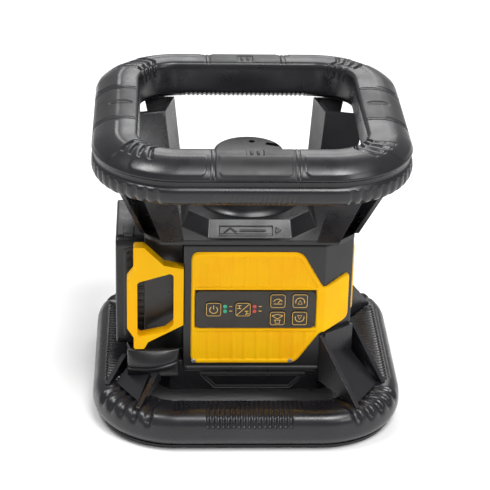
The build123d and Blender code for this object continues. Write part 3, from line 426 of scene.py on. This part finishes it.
# ---- printed and moulded line work --------------------------------------------------------------
def line_work(name, strokes, width, origin, x_axis, y_axis, material, body, relief=0.12):
    """Raised lines on a flat face: each stroke is a list of points in the face's own axes."""
    normal = Vector(x_axis).cross(Vector(y_axis)).normalized()
    curve = bpy.data.curves.new(name, "CURVE")
    curve.dimensions = "3D"
    curve.bevel_depth = width / 2
    curve.bevel_resolution = 2
    for stroke, closed in strokes:
        spline = curve.splines.new("POLY")
        spline.points.add(len(stroke) - 1)
        for point, (x, y) in zip(spline.points, stroke):
            point.co = (x, y, 0, 1)
        spline.use_cyclic_u = closed
    source = bpy.data.objects.new(name, curve)
    mesh = bpy.data.meshes.new_from_object(source)
    bpy.data.objects.remove(source)
    place = Matrix((Vector(x_axis), Vector(y_axis), normal)).transposed()
    for vertex in mesh.vertices:
        local = vertex.co.copy()
        local.z = local.z / (width / 2) * relief
        vertex.co = (Vector(origin) + place @ local) * MM
    mesh.materials.clear()
    mesh.materials.append(MATERIALS[material])
    mesh.shade_smooth()
    obj = bpy.data.objects.new(name, mesh)
    bpy.context.scene.collection.objects.link(obj)
    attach(obj, body)
    return obj


def arc(cx, cy, radius, start, end, count=24):
    """Points along a circular arc, in degrees."""
    angles = [math.radians(start + (end - start) * i / count) for i in range(count + 1)]
    return [(cx + radius * math.cos(angle), cy + radius * math.sin(angle)) for angle in angles]


def rounded_square(half, corner):
    """Closed outline of a square with round corners."""
    flat = half - corner
    points = []
    for cx, cy, start in ((flat, flat, 0), (-flat, flat, 90), (-flat, -flat, 180), (flat, -flat, 270)):
        points += arc(cx, cy, corner, start, start + 90, 6)
    return points


MATERIALS["print_yellow"] = moulded("print_yellow", (0.82, 0.50, 0.10), (0.92, 0.60, 0.16), 0.4, scuffs=False)
ICONS = {
    "button_power": [(arc(0, -0.3, 3.0, 125, 415), False), ([(0, 0.2), (0, 3.6)], False)],
    "button_mode": [([(-5, -5), (5, 5)], False), ([(-4.4, 3.4), (-1.2, 3.4)], False),
                    ([(-2.8, 3.4), (-2.8, 0.9)], False), ([(-4.4, 0.9), (-1.4, 0.9)], False),
                    ([(1.2, -1.4), (4.2, -1.4)], False),
                    ([(2.6, -1.4), (3.2, -4.0)], False), ([(1.6, -4.2), (4.6, -3.4)], False)],
    "button_speed": [(arc(0, -1.6, 3.4, 20, 160), False), ([(0, -1.6), (1.9, 0.7)], False),
                     ([(-3.2, -2.4), (3.2, -2.4)], False)],
    "button_scan": [([(-4.2, 2.4), (0, 3.6), (4.2, 2.4)], False),
                    ([(-4.2, 2.4), (0, -0.4), (4.2, 2.4)], False),
                    ([(-1.7, -1.4), (1.7, -1.4), (1.7, -4.2), (-1.7, -4.2)], True),
                    ([(-2.6, -1.4), (2.6, -1.4)], False)],
    "button_turn_right": [(arc(0, -0.6, 3.4, -20, 200), False),
                          ([(-1.6, -2.6), (0, 0.8), (1.6, -2.6)], True)],
    "button_turn_left": [(arc(0, 0.6, 3.4, 160, 380), False), ([(-1.6, 2.6), (0, -0.8), (1.6, 2.6)], True)],
}


def build_icons():
    """Printed outline and pictogram on each button."""
    for button, icon in ICONS.items():
        low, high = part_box(button)
        centre = ((low[0] + high[0]) / 2 / MM, low[1] / MM, (low[2] + high[2]) / 2 / MM)
        line_work(button + "_outline", [(rounded_square(5.5, 1.8), True)], 0.42, centre, (1, 0, 0), (0, 0, 1),
                  "print_yellow", button)
        line_work(button + "_icon", icon, 0.55, centre, (1, 0, 0), (0, 0, 1), "print_yellow", button)


def build_lamp_marks():
    """Small printed marks beside the indicator lamps."""
    reach = 3.2
    for lamp_x in (-18.2, 4.3):
        strokes = [([(reach, dz), (reach + 2.2, dz)], False) for dz in (2.0, -2.0)]
        low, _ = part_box("keypad_bezel")
        line_work("lamp_mark", strokes, 0.6, (lamp_x, low[1] / MM, 93.6), (1, 0, 0), (0, 0, 1),
                  "print_yellow", "chassis")


build_icons()
build_lamp_marks()


# ---- relief panels ------------------------------------------------------------------------------
def outline_distance(u, v, outline):
    """Signed distance to a closed outline, negative inside."""
    nearest = np.full(u.shape, 1e9)
    inside = np.zeros(u.shape, bool)
    for (ax, ay), (bx, by) in zip(outline, outline[1:] + outline[:1]):
        ex, ey = bx - ax, by - ay
        along = np.clip(((u - ax) * ex + (v - ay) * ey) / (ex * ex + ey * ey), 0, 1)
        nearest = np.minimum(nearest, np.hypot(u - ax - along * ex, v - ay - along * ey))
        crosses = (ay > v) != (by > v)
        if ay != by:
            inside ^= crosses & (u < ex * (v - ay) / (by - ay) + ax)
    return np.where(inside, -nearest, nearest)


HIDDEN_HEIGHT = -0.9


def relief_panel(name, spans, height_of, place, material, body, pitch=0.5):
    """A moulded face: a fine grid over (u, v) lifted by its height and put in place."""
    (u_low, u_high), (v_low, v_high) = spans
    across = np.arange(u_low, u_high + pitch, pitch)
    u, v = np.meshgrid(across, np.arange(v_low, v_high + pitch, pitch), indexing="ij")
    height = height_of(u, v)
    points = np.stack(place(u, v, height), -1)
    index = np.arange(u.size).reshape(u.shape)
    quads = np.stack([index[:-1, :-1], index[1:, :-1], index[1:, 1:], index[:-1, 1:]], -1)
    drawn = height.ravel()[quads].max(axis=2) > HIDDEN_HEIGHT
    used, packed = np.unique(quads[drawn], return_inverse=True)
    return mesh_object(name, points.reshape(-1, 3)[used], packed.reshape(-1, 4).tolist(), material, body)


def round_corners(outline, radius, count=5):
    """Outline with each corner replaced by a short curve."""
    points = []
    for before, corner, after in zip(outline[-1:] + outline[:-1], outline, outline[1:] + outline[:1]):
        ends = []
        for other in (before, after):
            length = math.dist(corner, other)
            share = min(radius, length * 0.45) / length
            ends.append([c + (o - c) * share for c, o in zip(corner, other)])
        for index in range(count + 1):
            t = index / count
            points.append(tuple((1 - t) ** 2 * a + 2 * t * (1 - t) * c + t * t * b
                                for a, c, b in zip(ends[0], corner, ends[1])))
    return points


PANEL_OUTLINE = round_corners([(-44.4, 141), (40, 141), (56, 112.5), (57.5, 111.5), (81.5, 119), (81.5, 78),
                               (57.5, 72), (55.5, 72), (37, 44.8), (-44.4, 44.8)], 6)
KEYPAD_OUTLINE = [(-41, 108.8), (51.1, 108.8), (51.1, 76.7), (-41, 76.7)]
FOLD_X = 57.5


def panel_height(u, v):
    """Front panel: rounded rim, slim border step and wide flutes above and below the keypad."""
    edge = outline_distance(u, v, PANEL_OUTLINE) + 0.3
    window = -outline_distance(u, v, KEYPAD_OUTLINE)
    inward = np.minimum(-edge, -window)
    height = 2.1 * np.sqrt(np.clip(inward / 1.6, 0, 1) * (2 - np.clip(inward / 1.6, 0, 1)))
    height = np.where(inward < 0, -1.0, height)
    field = step(-edge, 3.0, 3.8) * step(-window, 2.6, 3.4) * (u < 54)
    flutes = groove((u + 40.0) % 9.4 - 4.7, 6.6, 0.9)
    return height - field * (0.5 + 0.5 * flutes)


def panel_place(u, v, height):
    """Front face up to the fold, then back along the corner chamfer."""
    past = np.maximum(u - FOLD_X, 0)
    turn = step(u, FOLD_X - 1.5, FOLD_X + 1.5)
    run_x, run_y = 22.5 / 27.61, 16.0 / 27.61
    normal_x, normal_y = turn * run_y, -(1 - turn) - turn * run_x
    size = np.hypot(normal_x, normal_y)
    return (np.minimum(u, FOLD_X) + past * run_x + height * normal_x / size,
            -60 + past * run_y + height * normal_y / size, v)


def side_height(u, v):
    """Side panel: rounded rim, border step and flutes."""
    inward = -rounded_pad(u, v - 106, 36, 30, 8)
    height = np.where(inward < 0, -1.0, 2.0 * np.sqrt(np.clip(inward / 1.6, 0, 1)))
    return height - step(inward, 3.0, 3.8) * (0.45 + 0.35 * groove(u % 9.4 - 4.7, 6.6, 0.9))


def build_panels():
    """Yellow front and side panels."""
    front = relief_panel("front_panel_moulding", ((-46, 83), (43, 142.5)), panel_height, panel_place,
                         "yellow_plastic", "chassis")
    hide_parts("front_panel")
    side = relief_panel("side_panel_moulding", ((-37, 37), (75, 137)), side_height,
                        lambda u, v, h: (80 + h, u, v), "yellow_plastic", "chassis")
    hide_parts("side_panel")


def sill_height(u, v):
    """Lower front: a rolled lip over a recess with a trapezoid field."""
    lip = 1.8 * np.sqrt(np.clip(1 - ((v - 40.2) / 2.2) ** 2, 0, 1))
    field = outline_distance(u, v, [(-36, 35), (44, 35), (33, 23.5), (-25, 23.5)])
    frame_line = 0.8 * band(field, -1.0, 0.6, 0.5)
    ends = step(u, -50, -47) * (1 - step(u, 54, 57))
    return np.where(ends > 0, ends * np.maximum(lip, 0.15 + frame_line), -1.0)


def prow_height(u, v):
    """A glossy hull-shaped bulge below the grip."""
    level = (v - 33) / 24
    reach = (u + 93) / 40
    bulge = np.sin(np.pi * np.clip(level, 0, 1)) ** 0.7 * np.sin(np.pi * np.clip(reach, 0, 1)) ** 0.5
    keel = 1 - 0.25 * groove(level - 0.35 - 0.25 * reach, 0.05, 0.03)
    return np.where((level > 0) & (level < 1) & (reach > 0) & (reach < 1), 8.0 * bulge * keel, -1.0)


def lid_height(u, v):
    """Battery lid: rounded rim, stepped field and grip ribs near the release."""
    inward = -rounded_pad(u, v - 94, 37.5, 46.5, 7)
    height = np.where(inward < 0, -1.0, 0.6 * np.clip(inward / 1.5, 0, 1))
    ribs = groove(v % 4.0 - 2.0, 1.6, 0.4) * band(u, -18, 18, 0.6) * band(v, 116, 132, 0.3)
    window = band(rounded_pad(u, v - 80, 22, 18, 5), -0.8, 0.4, 0.4)
    return height - 0.5 * ribs * (inward > 0) - 0.4 * window


def back_height(u, v):
    """Rear face: a raised rounded field with a border line and cooling ribs."""
    inward = -rounded_pad(u - 4, v - 93, 46, 42, 8)
    height = np.where(inward < 0, -1.0, 1.2 * np.clip(inward / 1.4, 0, 1))
    ribs = groove(v % 5.0 - 2.5, 2.2, 0.5) * band(u, -30, 38, 1.0) * band(v, 62, 84, 0.4)
    return height - 0.5 * groove(inward - 4.0, 1.0, 0.3) - 0.8 * ribs


def pack_side_height(u, v):
    """Side of the battery pack: a rounded field with grip grooves."""
    inward = -rounded_pad(u + 79, v - 94, 17, 40, 5)
    height = np.where(inward < 0, -1.0, 0.5 * np.clip(inward / 1.2, 0, 1))
    return height - 0.4 * groove(v % 6.0 - 3.0, 2.0, 0.5) * step(inward, 3.0, 4.0)


def build_case_reliefs():
    """Moulded detail of the lower front, the prow under the grip, the rear face and the battery pack."""
    relief_panel("back_moulding", ((-44, 51), (50, 136)), back_height,
                 lambda u, v, h: (-u + 4, 60.02 + h, v), "case_plastic", "chassis")
    relief_panel("pack_back_moulding", ((-97, -61), (53, 135)), pack_side_height,
                 lambda u, v, h: (-u - 158, 38.02 + h, v), "case_plastic", "battery")
    relief_panel("pack_front_moulding", ((-97, -61), (53, 135)), pack_side_height,
                 lambda u, v, h: (u, -38.02 - h, v), "case_plastic", "battery")
    relief_panel("sill_moulding", ((-50, 57), (22, 42.5)), sill_height,
                 lambda u, v, h: (u, -60.05 - h, v), "case_plastic", "chassis", 0.6)
    relief_panel("prow_moulding", ((-93, -53), (33, 57)), prow_height,
                 lambda u, v, h: (u, -60.05 - h, v), "case_plastic", "chassis")
    low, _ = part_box("battery_lid")
    relief_panel("lid_moulding", ((-38, 38), (47, 141)), lid_height,
                 lambda u, v, h: (low[0] / MM + 0.55 - h, u, v), "case_plastic", "battery")


def build_deck_diagram():
    """Moulded outline with an arrow on the deck's front slope."""
    along = Vector((0, 16, 10)).normalized()
    strokes = [([(-20, -3.6), (20, -3.6), (20, 3.6), (-20, 3.6)], True),
               ([(-17, -2), (-12, 2), (-7, -2)], False),
               ([(-5, 0), (15, 0)], False), ([(22.5, -2.4), (26.5, 0), (22.5, 2.4)], True)]
    line_work("deck_diagram", strokes, 0.8, (-3, -52, 155.6), (1, 0, 0), tuple(along),
              "case_plastic", "chassis", 0.35)


build_panels()
build_case_reliefs()
build_deck_diagram()


# ---- stage, light and camera --------------------------------------------------------------------
def area_light(name, location, target, size, power):
    """A square soft box that points at a target."""
    data = bpy.data.lights.new(name, "AREA")
    data.shape = "SQUARE"
    data.size = size
    data.energy = power
    light = bpy.data.objects.new(name, data)
    bpy.context.scene.collection.objects.link(light)
    light.location = location
    light.rotation_euler = (Vector(target) - Vector(location)).to_track_quat("-Z", "Y").to_euler()
    return light


def build_stage():
    """Pale floor, soft boxes and a bright even surround."""
    floor_material, tree, shader = new_material("floor")
    tree.links.new(ramp(tree, noise(tree, 6.0), 0.86, 0.9), shader.inputs["Base Color"])
    shader.inputs["Roughness"].default_value = 0.7
    mesh = bpy.data.meshes.new("floor")
    half = 6.0
    corners = [(-half, -half, 0), (half, -half, 0), (half, half, 0), (-half, half, 0)]
    mesh.from_pydata(corners, [], [(0, 1, 2, 3)])
    mesh.materials.append(floor_material)
    floor = bpy.data.objects.new("floor", mesh)
    bpy.context.scene.collection.objects.link(floor)
    floor.location.z = -0.0002
    world = bpy.data.worlds.new("surround")
    world.use_nodes = True
    world.node_tree.nodes["Background"].inputs["Color"].default_value = (1, 1, 1, 1)
    world.node_tree.nodes["Background"].inputs["Strength"].default_value = 0.42
    bpy.context.scene.world = world
    bpy.context.scene.view_settings.view_transform = "Standard"
    sun_data = bpy.data.lights.new("overhead", "SUN")
    sun_data.energy = 2.3
    sun_data.angle = math.radians(24)
    sun = bpy.data.objects.new("overhead", sun_data)
    sun.rotation_euler = Vector((0.25, -0.35, 1)).to_track_quat("Z", "Y").to_euler()
    bpy.context.scene.collection.objects.link(sun)
    area_light("key", (-0.6, -0.2, 1.4), (0, 0, 0.12), 0.35, 9)
    area_light("fill", (0.9, -1.0, 0.9), (0, 0, 0.1), 0.35, 4)
    area_light("back", (0.2, 1.2, 1.0), (0, 0, 0.15), 0.8, 6)


def build_camera():
    """Camera at the viewing angle that the object is seen from."""
    pitch, yaw, roll = 0.4618, -0.0499, 0.0244
    position = Vector((-0.06758, -1.33228, 0.78079))
    forward = Vector((-math.sin(yaw) * math.cos(pitch), math.cos(yaw) * math.cos(pitch), -math.sin(pitch)))
    right = Vector((math.cos(yaw), math.sin(yaw), 0))
    up = right.cross(forward)
    right, up = (right * math.cos(roll) + up * math.sin(roll), up * math.cos(roll) - right * math.sin(roll))
    data = bpy.data.cameras.new("camera")
    data.lens = 138.87
    data.sensor_width = 36.0
    camera = bpy.data.objects.new("camera", data)
    bpy.context.scene.collection.objects.link(camera)
    camera.matrix_world = Matrix.Translation(position) @ Matrix((right, up, -forward)).transposed().to_4x4()
    bpy.context.scene.camera = camera


build_stage()
build_camera()
